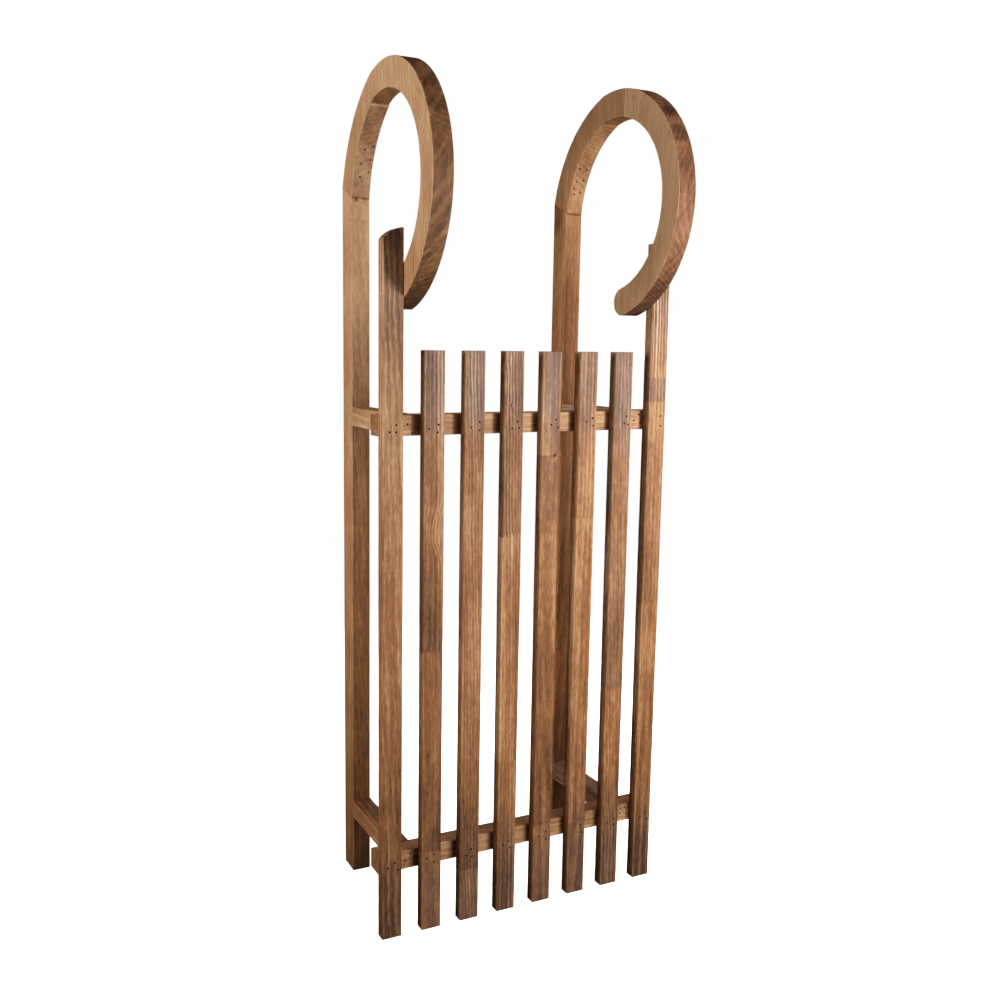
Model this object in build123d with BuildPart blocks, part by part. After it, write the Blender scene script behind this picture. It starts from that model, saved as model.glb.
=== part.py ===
"""Wooden horn sled, standing on its tail ends: two runners whose upper ends curl
forward into horns, two crossbars held in front of the runners on four struts,
and a row of bars nailed to the crossbar fronts. Millimetres, origin on the
floor under the middle, slats towards -Y, up is +Z."""
import math
import os

from build123d import *

os.makedirs("parts", exist_ok=True)

# Driving sizes
overall_width = 375.0
overall_height = 1000.0
bar_width = 24.5
bar_thick = 14.2
slat_length = 683.0
slat_count = 6
rail_side_height = 800.0
rail_top_rise = 13.3
batten = 23.5
cross_low_bottom = 74.5
cross_high_bottom = 588.0
slat_front = -63.0
horn_radius = 138.0
horn_band = 33.0
heel_flat = 4.0
splice_front_rise = 3.0
splice_back_rise = 17.0
front_seam = -23.0
back_seam_left = 41.0
back_seam_right = 25.0
tip_angle = 14.0
edge_ease = 0.8

# Sizes that follow from the ones above
horn_inner = horn_radius - horn_band
horn_middle = horn_radius - horn_band / 2
horn_centre = overall_height - horn_radius
splice_front = horn_centre + splice_front_rise
splice_back = horn_centre + splice_back_rise
bar_back = slat_front + bar_thick
cross_back = bar_back + batten
strut_length = horn_inner - cross_back
rail_centre = (overall_width - bar_width) / 2
runner_centre = overall_width / 2 - bar_width - batten / 2
slat_pitch = (overall_width - bar_width) / (slat_count + 1)
bar_centre_y = (slat_front + bar_back) / 2
cross_centre_y = bar_back + batten / 2
strut_centre_y = (cross_back + horn_inner) / 2


def ring_point(radius, degrees):
    """Point on a horn circle, its angle counted from the back up over the crown."""
    turn = math.radians(degrees)
    return (radius * math.cos(turn), horn_centre + radius * math.sin(turn))


def ring_angle(radius, y):
    """Angle of the crown-side point of a horn circle that lies at depth y."""
    return math.degrees(math.acos(y / radius))


sides = [
    # name, sign, back seam
    ("left", -1, back_seam_left),
    ("right", 1, back_seam_right),
]

levels = [
    # name, bottom
    ("lower", cross_low_bottom),
    ("upper", cross_high_bottom),
]

# Where the horns start on the runners and where they end
heel_outer_start = (horn_radius, splice_back)
heel_inner_start = (horn_inner, splice_front)
outer_start_angle = math.degrees(math.atan2(splice_back_rise, horn_radius))
inner_start_angle = math.degrees(math.atan2(splice_front_rise, horn_inner))
tip_turn = 270 - tip_angle
tip_middle = ring_point(horn_middle, tip_turn)
tip_end = (
    tip_middle[0] - horn_band / 2 * math.sin(math.radians(tip_turn)),
    tip_middle[1] + horn_band / 2 * math.cos(math.radians(tip_turn)),
)

# Runners: straight bars from the floor to the sloping splice under each horn
for side_name, sign, back_seam in sides:
    with BuildPart() as runner:
        with BuildSketch(Plane.YZ.offset(sign * runner_centre)):
            with BuildLine():
                Polyline(
                    (horn_inner, 0),
                    (horn_radius, 0),
                    heel_outer_start,
                    heel_inner_start,
                    close=True,
                )
            make_face()
        extrude(amount=batten / 2, both=True)
        chamfer(runner.edges().filter_by(Axis.Z), length=edge_ease)
    runner.part.label = f"runner_{side_name}"
    export_step(runner.part, f"parts/runner_{side_name}.step")

# Horn heels: the nailed staves that carry each runner round to the back seam
for side_name, sign, back_seam in sides:
    with BuildPart() as heel:
        with BuildSketch(Plane.YZ.offset(sign * runner_centre)):
            with BuildLine():
                outer_end_angle = ring_angle(horn_radius, back_seam)
                inner_end_angle = ring_angle(horn_inner, back_seam)
                outer_end = ring_point(horn_radius, outer_end_angle)
                inner_end = ring_point(horn_inner, inner_end_angle)
                outer_middle = ring_point(horn_radius - heel_flat, (outer_start_angle + outer_end_angle) / 2)
                inner_middle = ring_point(horn_inner - heel_flat, (inner_start_angle + inner_end_angle) / 2)
                Line(heel_inner_start, heel_outer_start)
                ThreePointArc(heel_outer_start, outer_middle, outer_end)
                Line(outer_end, inner_end)
                ThreePointArc(inner_end, inner_middle, heel_inner_start)
            make_face()
        extrude(amount=batten / 2, both=True)
        chamfer(heel.edges().filter_by(GeomType.CIRCLE), length=edge_ease)
    heel.part.label = f"horn_heel_{side_name}"
    export_step(heel.part, f"parts/horn_heel_{side_name}.step")

# Horn crowns: the short staves between the two upright seams
for side_name, sign, back_seam in sides:
    with BuildPart() as crown:
        with BuildSketch(Plane.YZ.offset(sign * runner_centre)):
            with BuildLine():
                outer_back = ring_point(horn_radius, ring_angle(horn_radius, back_seam))
                inner_back = ring_point(horn_inner, ring_angle(horn_inner, back_seam))
                outer_front = ring_point(horn_radius, ring_angle(horn_radius, front_seam))
                inner_front = ring_point(horn_inner, ring_angle(horn_inner, front_seam))
                ThreePointArc(outer_back, ring_point(horn_radius, 90), outer_front)
                Line(outer_front, inner_front)
                ThreePointArc(inner_front, ring_point(horn_inner, 90), inner_back)
                Line(inner_back, outer_back)
            make_face()
        extrude(amount=batten / 2, both=True)
        chamfer(crown.edges().filter_by(GeomType.CIRCLE), length=edge_ease)
    crown.part.label = f"horn_crown_{side_name}"
    export_step(crown.part, f"parts/horn_crown_{side_name}.step")

# Horn noses: the long front staves that turn down and back to a rounded tip
for side_name, sign, back_seam in sides:
    with BuildPart() as nose:
        with BuildSketch(Plane.YZ.offset(sign * runner_centre)):
            with BuildLine():
                outer_top = ring_point(horn_radius, ring_angle(horn_radius, front_seam))
                inner_top = ring_point(horn_inner, ring_angle(horn_inner, front_seam))
                outer_tip = ring_point(horn_radius, tip_turn)
                inner_tip = ring_point(horn_inner, tip_turn)
                ThreePointArc(outer_top, ring_point(horn_radius, 180), outer_tip)
                ThreePointArc(outer_tip, tip_end, inner_tip)
                ThreePointArc(inner_tip, ring_point(horn_inner, 180), inner_top)
                Line(inner_top, outer_top)
            make_face()
        extrude(amount=batten / 2, both=True)
        chamfer(nose.edges().filter_by(GeomType.CIRCLE), length=edge_ease)
    nose.part.label = f"horn_nose_{side_name}"
    export_step(nose.part, f"parts/horn_nose_{side_name}.step")

# Crossbars: full-width square bars behind the slats
for level_name, bottom in levels:
    with BuildPart() as crossbar:
        with Locations((0, cross_centre_y, bottom)):
            Box(overall_width, batten, batten, align=(Align.CENTER, Align.CENTER, Align.MIN))
        chamfer(crossbar.edges().filter_by(Axis.X), length=edge_ease)
    crossbar.part.label = f"crossbar_{level_name}"
    export_step(crossbar.part, f"parts/crossbar_{level_name}.step")

# Struts: short bars that hold each crossbar off the runner fronts
for level_name, bottom in levels:
    for side_name, sign, back_seam in sides:
        with BuildPart() as strut:
            with Locations((sign * runner_centre, strut_centre_y, bottom)):
                Box(batten, strut_length, batten, align=(Align.CENTER, Align.CENTER, Align.MIN))
            chamfer(strut.edges().filter_by(Axis.Y), length=edge_ease)
        strut.part.label = f"strut_{level_name}_{side_name}"
        export_step(strut.part, f"parts/strut_{level_name}_{side_name}.step")

# Rails: the long outer bars, their tops rounded down towards the outside
for side_name, sign, back_seam in sides:
    with BuildPart() as rail:
        with BuildSketch(Plane.XZ.offset(-bar_centre_y)):
            with BuildLine():
                outside = sign * overall_width / 2
                inside = sign * (overall_width / 2 - bar_width)
                shoulder = sign * (overall_width / 2 - bar_width * 0.36)
                top_outside = (outside, rail_side_height)
                top_shoulder = (shoulder, rail_side_height + rail_top_rise * 0.62)
                top_inside = (inside, rail_side_height + rail_top_rise)
                Polyline(top_inside, (inside, 0), (outside, 0), top_outside)
                ThreePointArc(top_outside, top_shoulder, top_inside)
            make_face()
        extrude(amount=bar_thick / 2, both=True)
        chamfer(rail.edges().filter_by(Axis.Z), length=edge_ease)
    rail.part.label = f"rail_{side_name}"
    export_step(rail.part, f"parts/rail_{side_name}.step")

# Slats: the shorter bars between the rails, evenly spaced
slats = [
    # name, step from the left rail
    (f"slat_{number}", number)
    for number in range(1, slat_count + 1)
]

for slat_name, step in slats:
    with BuildPart() as slat:
        with Locations((step * slat_pitch - rail_centre, bar_centre_y, 0)):
            Box(bar_width, bar_thick, slat_length, align=(Align.CENTER, Align.CENTER, Align.MIN))
        chamfer(slat.edges().filter_by(Axis.Z), length=edge_ease)
    slat.part.label = slat_name
    export_step(slat.part, f"parts/{slat_name}.step")
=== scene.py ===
# %% [markdown]
# # A wooden horn sled, standing on its tail
#
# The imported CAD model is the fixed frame: it says where every stick of the sled is and how big it is. In
# this lesson each stick is modelled once more with eased edges, nail holes and glued seams, and each one
# gets a stained wood of its own, cut from its own imaginary log.

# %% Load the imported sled
import math
from types import SimpleNamespace

import bmesh
import bpy
from mathutils import Euler, Matrix, Vector, noise


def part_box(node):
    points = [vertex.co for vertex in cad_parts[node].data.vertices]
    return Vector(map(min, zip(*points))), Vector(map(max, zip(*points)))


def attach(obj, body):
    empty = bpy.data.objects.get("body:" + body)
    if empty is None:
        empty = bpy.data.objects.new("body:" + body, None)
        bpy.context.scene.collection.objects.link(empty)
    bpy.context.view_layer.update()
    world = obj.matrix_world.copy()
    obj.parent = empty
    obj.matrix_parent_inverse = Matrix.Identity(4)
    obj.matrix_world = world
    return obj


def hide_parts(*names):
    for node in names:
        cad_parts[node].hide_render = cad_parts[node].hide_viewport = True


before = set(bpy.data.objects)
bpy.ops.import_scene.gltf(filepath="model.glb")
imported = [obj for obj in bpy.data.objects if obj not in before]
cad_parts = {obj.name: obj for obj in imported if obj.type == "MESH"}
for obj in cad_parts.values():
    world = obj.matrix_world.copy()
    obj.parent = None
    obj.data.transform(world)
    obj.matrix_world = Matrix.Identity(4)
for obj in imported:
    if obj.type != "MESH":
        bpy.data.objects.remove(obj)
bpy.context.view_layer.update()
mm = 0.001
print("packed nodes:", len(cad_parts))

# %% [markdown]
# ## The camera
#
# The photograph was taken from the left of the sled, a little over half its height. The place, turn and
# focal length were solved from the edges of the sticks, so the camera is set from plain numbers. It could
# be aimed by a constraint, but the small roll would be lost. A camera looks along its own -Z axis with +Y
# up, so its matrix is built from the right, up and backward directions.

# %% Set the camera
picture_side = 1000
focal_pixels = 1038.1
sensor_width = 36.0
camera_place = Vector((-0.5964, -1.1171, 0.6879))
camera_yaw = math.radians(25.783)
camera_pitch = math.radians(-7.89)
camera_roll = math.radians(0.678)

forward = Vector((
    math.sin(camera_yaw) * math.cos(camera_pitch),
    math.cos(camera_yaw) * math.cos(camera_pitch),
    math.sin(camera_pitch),
))
level_right = Vector((math.cos(camera_yaw), -math.sin(camera_yaw), 0.0))
level_up = level_right.cross(forward)
right = level_right * math.cos(camera_roll) + level_up * math.sin(camera_roll)
up = level_up * math.cos(camera_roll) - level_right * math.sin(camera_roll)


def add_object(name, data):
    """Puts a camera, a lamp or a mesh into the scene."""
    added = bpy.data.objects.new(name, data)
    bpy.context.scene.collection.objects.link(added)
    return added


lens = bpy.data.cameras.new("photo_lens")
lens.sensor_width = sensor_width
lens.lens = focal_pixels / picture_side * sensor_width
lens.shift_x = 0.035
lens.shift_y = -0.010
lens.clip_start = 0.05
camera = add_object("photo_camera", lens)
camera.matrix_world = Matrix.Translation(camera_place) @ Matrix((right, up, -forward)).transposed().to_4x4()
bpy.context.scene.camera = camera
print("lens:", round(lens.lens, 2), "mm")

# %% [markdown]
# ## Studio light
#
# The sled stands in a white studio. A narrow key light from the front right throws the shadow of the left
# horn on the top of the left rail and a thin shadow beside every slat, and a low light keeps the feet
# from going black. A large light on the left brightens all faces that look left, and a narrow beam
# reaches the left sides of the slats. Three more pick out the crowns, the tops and the back. Those are
# hidden from gloss, because they would lie on the upper faces as a grey sheen. Sun lamps would give hard
# shadows, and an area light is as soft as it is large. The world is white where the camera sees it, and
# only a faint light on the wood.

# %% Set the lights and the world
lights = [
    # name, place, aim, width and height, watts, shows in gloss, spread in degrees, colour
    ("key_light", (0.37, -0.69, 0.70), (-0.02, -0.02, 0.66), (0.12, 0.46), 7.6, True, 180, (1.0, 0.96, 0.91)),
    ("low_light", (0.24, -0.78, 0.08), (0.0, 0.0, 0.12), (0.24, 0.20), 3.4, True, 180, (1.0, 0.90, 0.78)),
    ("left_light", (-1.70, -0.16, 0.84), (0.0, 0.0, 0.74), (0.50, 0.60), 31.5, True, 180, (1.0, 0.98, 0.94)),
    ("side_light", (-1.25, -0.52, 0.38), (0.0, -0.06, 0.34), (0.16, 0.16), 0.34, True, 32, (1.0, 0.94, 0.86)),
    ("crown_light", (0.50, -0.15, 1.40), (0.15, 0.0, 0.98), (0.20, 0.20), 2.6, False, 180, (1.0, 0.92, 0.82)),
    ("top_light", (0.0, 0.6, 2.4), (0.0, 0.0, 0.5), (1.00, 1.00), 4.0, False, 180, (1.0, 0.94, 0.86)),
    ("back_light", (0.7, 1.6, 0.62), (0.0, 0.0, 0.5), (0.80, 1.00), 38.0, False, 180, (1.0, 0.98, 0.96)),
]
for light_name, light_place, light_aim, light_size, watts, gloss, spread, light_colour in lights:
    lamp = bpy.data.lights.new(light_name, "AREA")
    lamp.shape = "RECTANGLE"
    lamp.size, lamp.size_y = light_size
    lamp.energy = watts
    lamp.spread = math.radians(spread)
    lamp.color = light_colour
    stand = add_object(light_name, lamp)
    stand.visible_camera = False
    stand.visible_glossy = gloss
    aim = Vector(light_aim) - Vector(light_place)
    stand.matrix_world = Matrix.Translation(light_place) @ aim.to_track_quat("-Z", "Y").to_matrix().to_4x4()

world_light = 0.03
world = bpy.data.worlds.new("white_studio")
bpy.context.scene.world = world
world.use_nodes = True
sky = world.node_tree.nodes["Background"]
sky.inputs["Color"].default_value = (1.0, 1.0, 1.0, 1.0)
sky.inputs["Strength"].default_value = world_light
backdrop = world.node_tree.nodes.new("ShaderNodeBackground")
backdrop.inputs["Color"].default_value = (1.0, 1.0, 1.0, 1.0)
seen = world.node_tree.nodes.new("ShaderNodeLightPath")
either = world.node_tree.nodes.new("ShaderNodeMixShader")
world.node_tree.links.new(seen.outputs["Is Camera Ray"], either.inputs[0])
world.node_tree.links.new(sky.outputs[0], either.inputs[1])
world.node_tree.links.new(backdrop.outputs[0], either.inputs[2])
world.node_tree.links.new(either.outputs[0], world.node_tree.nodes["World Output"].inputs["Surface"])
bpy.context.scene.view_settings.view_transform = "Standard"
print("lights:", [row[0] for row in lights])

# %% [markdown]
# ## Shader maths in plain expressions
#
# A wood shader is a long sum of noises. Wiring it by hand hides the idea, so one small class wraps a
# socket and turns Python arithmetic into Math nodes. Its method node() makes every other kind of node.

# %% A channel that reads like arithmetic
class Channel:
    """One output socket of a node tree. Arithmetic on it adds Math nodes."""

    def __init__(self, tree, socket):
        self.tree = tree
        self.socket = socket

    def node(self, kind, settings, sockets, output=0):
        """A new node: its settings first, then the values or links of its sockets."""
        made = self.tree.nodes.new(kind)
        for key, value in settings.items():
            if key == "stops":
                while len(made.color_ramp.elements) < len(value):
                    made.color_ramp.elements.new(1.0)
                for element, (position, colour) in zip(made.color_ramp.elements, value):
                    element.position = position
                    element.color = (*colour, 1.0)
            else:
                setattr(made, key, value)
        for key, value in sockets.items():
            if isinstance(value, Channel):
                self.tree.links.new(value.socket, made.inputs[key])
            else:
                made.inputs[key].default_value = value
        return Channel(self.tree, made.outputs[output])

    def math(self, operation, first, second=0.0):
        """A Math node on two channels or numbers."""
        return self.node("ShaderNodeMath", {"operation": operation}, {0: first, 1: second})

    def __add__(self, other):
        return self.math("ADD", self, other)

    def __radd__(self, other):
        return self.math("ADD", other, self)

    def __sub__(self, other):
        return self.math("SUBTRACT", self, other)

    def __rsub__(self, other):
        return self.math("SUBTRACT", other, self)

    def __mul__(self, other):
        return self.math("MULTIPLY", self, other)

    def __rmul__(self, other):
        return self.math("MULTIPLY", other, self)

    def __truediv__(self, other):
        return self.math("DIVIDE", self, other)

    def __pow__(self, other):
        return self.math("POWER", self, other)

    def size(self):
        """The number without its sign."""
        return self.math("ABSOLUTE", self)

    def ramp(self, low, high):
        """A smooth step from 0 at low to 1 at high; low may be the larger number."""
        sockets = {"Value": self, "From Min": low, "From Max": high}
        return self.node("ShaderNodeMapRange", {"interpolation_type": "SMOOTHSTEP"}, sockets)

    def parts(self):
        """The three numbers of a vector."""
        split = self.tree.nodes.new("ShaderNodeSeparateXYZ")
        self.tree.links.new(self.socket, split.inputs[0])
        return [Channel(self.tree, output) for output in split.outputs]

    def dot(self, direction):
        """How far a vector points in a direction."""
        settings = {"operation": "DOT_PRODUCT"}
        return self.node("ShaderNodeVectorMath", settings, {0: self, 1: direction}, "Value")

    def noise(self, stretch, shift, detail=2.0, rough=0.5):
        """Smooth noise from 0 to 1 on a vector that is stretched and shifted first."""
        settings = {"operation": "MULTIPLY_ADD"}
        moved = self.node("ShaderNodeVectorMath", settings, {0: self, 1: stretch, 2: shift})
        sockets = {"Vector": moved, "Scale": 1.0, "Detail": detail, "Roughness": rough}
        return self.node("ShaderNodeTexNoise", {}, sockets)

    def blend(self, first, second):
        """A colour between two colours, with this channel as the share of the second."""
        return self.node("ShaderNodeMix", {"data_type": "RGBA"}, {0: self, 6: first, 7: second}, 2)

    def feed(self, shader, socket_name):
        """Links this channel to a socket of a shader."""
        self.tree.links.new(self.socket, shader.inputs[socket_name])


def new_material(name):
    """A material, its shader and its texture coordinates."""
    material = bpy.data.materials.new(name)
    material.use_nodes = True
    nodes = material.node_tree.nodes
    return material, nodes["Principled BSDF"], nodes.new("ShaderNodeTexCoord")


print("shader channel ready")

# %% [markdown]
# ## The stained wood
#
# Real wood is a solid pattern: yearly rings round the middle of a trunk, fibres along it. A stick is sawn
# out of it, so its faces show lines, arches or end grain depending on how they cut the rings. Painted
# faces would not agree at the edges, so the shader does what the saw does: it turns Object coordinates to
# the log's own axes, measures the distance to the pith for the rings, and stretches noise along the grain
# for the fibres. All of it adds up to one number, the tone. Two colour ramps turn the tone into brown
# stain and into the greyish mauve that the stain has near the ends of the sticks.

# %% Colours of the stain
stain_stops = [
    # tone, colour
    (0.0, (0.018, 0.008, 0.004)),
    (0.25, (0.085, 0.034, 0.012)),
    (0.5, (0.235, 0.101, 0.038)),
    (0.75, (0.415, 0.250, 0.132)),
    (1.0, (0.640, 0.435, 0.275)),
]
mauve_stops = [
    # tone, colour
    (0.0, (0.030, 0.020, 0.018)),
    (0.25, (0.090, 0.058, 0.050)),
    (0.5, (0.225, 0.150, 0.120)),
    (0.75, (0.420, 0.290, 0.220)),
    (1.0, (0.640, 0.470, 0.370)),
]
warm_tint = (1.0, 0.86, 0.74, 1.0)
print("stops of the stain:", len(stain_stops), "and of the mauve:", len(mauve_stops))

# %% [markdown]
# ## Boards and looks
#
# A stick is glued up lengthwise from boards with finger joints, and each board took the stain in its own
# way. Each board could have a material of its own, but the joints would then need edges in the mesh. Here
# the shader steps from one board's traits to the next one's at a zigzag line. The look of a stick holds
# its boards and the traits of the whole stick. plain_look has a plain stick's traits, so a stick only
# names what differs.

# %% Boards and the plain look
def board(start, tone, lines=0.07, mauve=0.0, teeth=0.0, heart=0.0, step=0.0, patch=0.0):
    """One board from its start height up: tone, year lines, mauve, length of its joint's teeth,
    place and step of its heart side, and depth of a dark patch above the joint."""
    return {
        "from": start,
        "tone": tone,
        "lines": lines,
        "mauve": mauve,
        "teeth": teeth,
        "heart": heart,
        "step": step,
        "patch": patch,
    }


plain_look = {
    # the log: tilt of the stick in degrees, then place of the pith, width and wander of a year in mm
    "tilt": (1.0, -1.0),
    "pith": (35.0, 60.0),
    "ring": 4.0,
    "wander": 7.0,
    # knots, each with a place, a radius and a depth
    "knots": [],
    # strength of the figure and of its finest part, dark of the end grain, warm tint
    "figure": 1.0,
    "fine": 1.12,
    "end": 0.24,
    "warm": 0.0,
    # band-sawn faces of the horns: darker tone, saw lines, slant, pitch and depth of zones, share of mauve
    "sawn": 0.06,
    "kerf": 0.12,
    "slant": 1.3,
    "zone": (0.035, 0.10),
    "sawn_mauve": 0.0,
    # mauve ends: share and heights at the top, share and height at the foot, strength of the lines in them
    "mauve_top": (0.0, 520.0, 660.0),
    "mauve_foot": (0.0, 170.0),
    "mauve_lines": 0.40,
    # darker places: top end, painted shadow line under a ledge, foot, painted shade on the front between its
    # heights, painted shade on upper faces, flanks
    "dusk": 0.0,
    "ledge_shadow": -100.0,
    "foot": 0.03,
    "front_shade": (0.0, 700.0, 540.0),
    "top_shade": 0.0,
    "flank": 0.0,
    # height at which a board's dark patch ends
    "patch_top": 445.0,
}
print("wood traits:", sorted(plain_look))

# %% [markdown]
# ## The shader, step by step
#
# The channels of one stick are kept together in a simple namespace, and each helper adds the ones it
# makes: first where a point lies and which way its face looks, then joints, rings with their knots,
# fibres, mauve and saw marks. Small helpers read better than one long function, and each can be tried
# alone.

# %% Place in the log and direction of the face
grain_axes = {
    "x": Matrix.Rotation(math.radians(90), 3, "Y"),
    "y": Matrix.Rotation(math.radians(-90), 3, "X"),
    "z": Matrix.Identity(3),
}


def cut_from_log(tree, source, middle, grain, tilt):
    """The channels of one stick: millimetres on the sled, place in the log and masks of its faces."""
    stick = SimpleNamespace()
    stick.place = Channel(tree, source.outputs["Object"])
    stick.across, stick.deep, stick.height = [part / mm for part in stick.place.parts()]
    lean = Euler((math.radians(tilt[0]), math.radians(tilt[1]), 0.0)).to_matrix()
    turn = grain_axes[grain] @ lean
    mapped = {"Vector": stick.place, "Location": middle, "Rotation": turn.to_euler(), "Scale": (mm, mm, mm)}
    stick.log = stick.place.node("ShaderNodeMapping", {"vector_type": "TEXTURE"}, mapped)
    normal = Channel(tree, source.outputs["Normal"])
    sideways = normal.dot((1.0, 0.0, 0.0)).size()
    stick.end = normal.dot(turn @ Vector((0.0, 0.0, 1.0))).size().ramp(0.45, 0.98)
    stick.front = normal.dot((0.0, -1.0, 0.0)).ramp(0.6, 0.9)
    stick.upper = normal.dot((0.0, 0.0, 1.0)).ramp(0.6, 0.9)
    stick.flank = sideways.ramp(0.6, 0.9)
    stick.sawn = sideways.ramp(0.75, 0.25)
    stick.inner = (stick.across - middle.x / mm).size().ramp(12.0, 9.5)
    return stick


print("grain axes:", list(grain_axes))

# %% Finger joints
tooth_pitch = 2.3
joint_blur = 0.25


def add_joints(stick, boards):
    """Adds a step from 0 to 1 at each zigzag joint, and the glue line that runs along all joints."""
    stick.steps = []
    stick.glue = 0.0
    for upper_board in boards[1:]:
        wave = stick.across.math("PINGPONG", stick.across, tooth_pitch)
        gap = stick.height - wave * (upper_board["teeth"] / tooth_pitch) - upper_board["from"]
        stick.steps.append(gap.ramp(-joint_blur, joint_blur))
        stick.glue = stick.glue + gap.size().ramp(0.8, 0.2)


def trait(stick, boards, key):
    """One trait of the boards, stepping at every joint to that of the next board."""
    level = boards[0][key]
    for step, below, above in zip(stick.steps, boards, boards[1:]):
        level = level + step * (above[key] - below[key])
    return level


print("finger joints: teeth every", tooth_pitch, "mm")

# %% Year rings and knots
ripple_reach = 3.6
crinkle_reach = 1.6
board_shift = (11.0, 17.0)


def add_rings(stick, look, seed):
    """Adds the place within a year, the late wood, the cores of knots and the distance to the heart."""
    wander = stick.log.noise((0.016, 0.016, 0.0055), (seed, 3.1, 0.7))
    ripple = stick.log.noise((0.12, 0.12, 0.020), (seed, 8.3, 2.9))
    crinkle = stick.log.noise((0.40, 0.40, 0.10), (4.4, seed, 6.1))
    bend = (wander - 0.5) * look["wander"] + (ripple - 0.5) * ripple_reach + (crinkle - 0.5) * crinkle_reach
    stick.core = 0.0
    for spot, radius, depth in look["knots"]:
        pair = {0: stick.place, 1: Vector(spot) * mm}
        reach = stick.place.node("ShaderNodeVectorMath", {"operation": "DISTANCE"}, pair, "Value") / mm
        bend = bend + reach.ramp(radius * 3.0, radius * 0.3) * radius
        stick.core = stick.core + reach.ramp(radius, radius * 0.4) * depth
    side, back = stick.log.parts()[:2]
    joints_below = sum(stick.steps)
    pith_side, pith_back = look["pith"]
    ring_side = side - pith_side + bend + joints_below * board_shift[0]
    ring_back = back - pith_back + bend * 0.7 + joints_below * board_shift[1]
    year = (ring_side * ring_side + ring_back * ring_back) ** 0.5 / look["ring"]
    years = {"W": year * 0.31 + seed, "Scale": 1.0}
    rich = year.node("ShaderNodeTexNoise", {"noise_dimensions": "1D"}, years)
    stick.within = year.math("FRACT", year)
    dark_band = stick.within.ramp(0.35, 0.80) * stick.within.ramp(1.0, 0.88)
    stick.late = dark_band * (rich.ramp(0.28, 0.72) * 0.8 + 0.2)
    stick.heart = side + bend * 0.6


print("year rings ripple by", ripple_reach, "mm")

# %% Fibres, streaks and blots
def add_figure(stick, look, seed):
    """Adds noises stretched along the grain, and their sum, the figure of the wood."""
    stick.fibre = stick.log.noise((0.48, 0.48, 0.035), (seed * 1.7, 5.0, seed), 4.0, 0.62)
    stick.streak = stick.log.noise((0.17, 0.17, 0.0045), (seed, seed * 2.3, 1.0))
    stick.dash = stick.log.noise((0.46, 0.46, 0.12), (2.0, seed * 3.1, 4.0), 3.0, 0.6)
    stick.cloud = stick.log.noise((0.030, 0.030, 0.011), (seed * 0.6, 1.0, seed))
    stick.mottle = stick.log.noise((0.20, 0.20, 0.07), (seed, 9.0, 3.0))
    fine = ((stick.fibre - 0.5) * 0.32 + (stick.dash - 0.5) * 0.34) * look["fine"]
    wide = (stick.streak - 0.5) * 0.32 + (stick.cloud - 0.5) * 0.42 + (stick.mottle - 0.5) * 0.20
    stick.figure = (fine + wide) * look["figure"]


print("fibres, streaks and blots ready")

# %% Mauve ends
def add_mauve(stick, look):
    """Adds the share of mauve: in blots near top and foot, between pale year lines, on sawn faces."""
    top_share, top_from, top_to = look["mauve_top"]
    foot_share, foot_height = look["mauve_foot"]
    stick.high = stick.height.ramp(top_from, top_to)
    low = stick.height.ramp(foot_height, foot_height * 0.2)
    blots = stick.streak.ramp(0.30, 0.62) * 0.45 + stick.mottle.ramp(0.35, 0.65) * 0.20 + 0.45
    ends = (stick.high * top_share + low * foot_share) * blots * stick.inner
    stick.mauve = (ends + trait(stick, look["boards"], "mauve")) * (1.0 - stick.late * 0.45)
    stick.mauve = stick.mauve + stick.sawn * look["sawn_mauve"]


print("mauve ends ready")

# %% Saw marks of the horns
saw_radius = 121.0


def saw_marks(stick, look, seed, horn_centre):
    """The change of tone and the relief that a band saw leaves across the curved faces of a stave."""
    around = stick.place.math("ARCTAN2", stick.height - horn_centre / mm, stick.deep) * saw_radius
    slanted = around + stick.across * look["slant"]
    zone_pitch, zone_depth = look["zone"]
    kerf_place = around.node("ShaderNodeCombineXYZ", {}, {0: around, 1: stick.across, 2: seed})
    zone_place = around.node("ShaderNodeCombineXYZ", {}, {0: slanted, 1: stick.across, 2: seed})
    kerf = kerf_place.noise((0.85, 0.02, 1.0), (0.0, seed, 0.0), 3.0, 0.65)
    zone = zone_place.noise((zone_pitch, 0.010, 1.0), (seed, 0.0, 0.0))
    marks = (kerf - 0.5) * look["kerf"] + (stick.dash - 0.5) * 0.20
    marks = marks + (zone.ramp(0.40, 0.58) - 0.5) * zone_depth - look["sawn"]
    return stick.sawn * marks, kerf * stick.sawn * 0.4


print("saw marks measured round a radius of", saw_radius, "mm")

# %% The tone of a stick
middle_height = 450.0
# painted light: every stick is painted lighter the higher it reaches
painted_light_slope = 0.0004
patch_blur = 35.0


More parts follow.
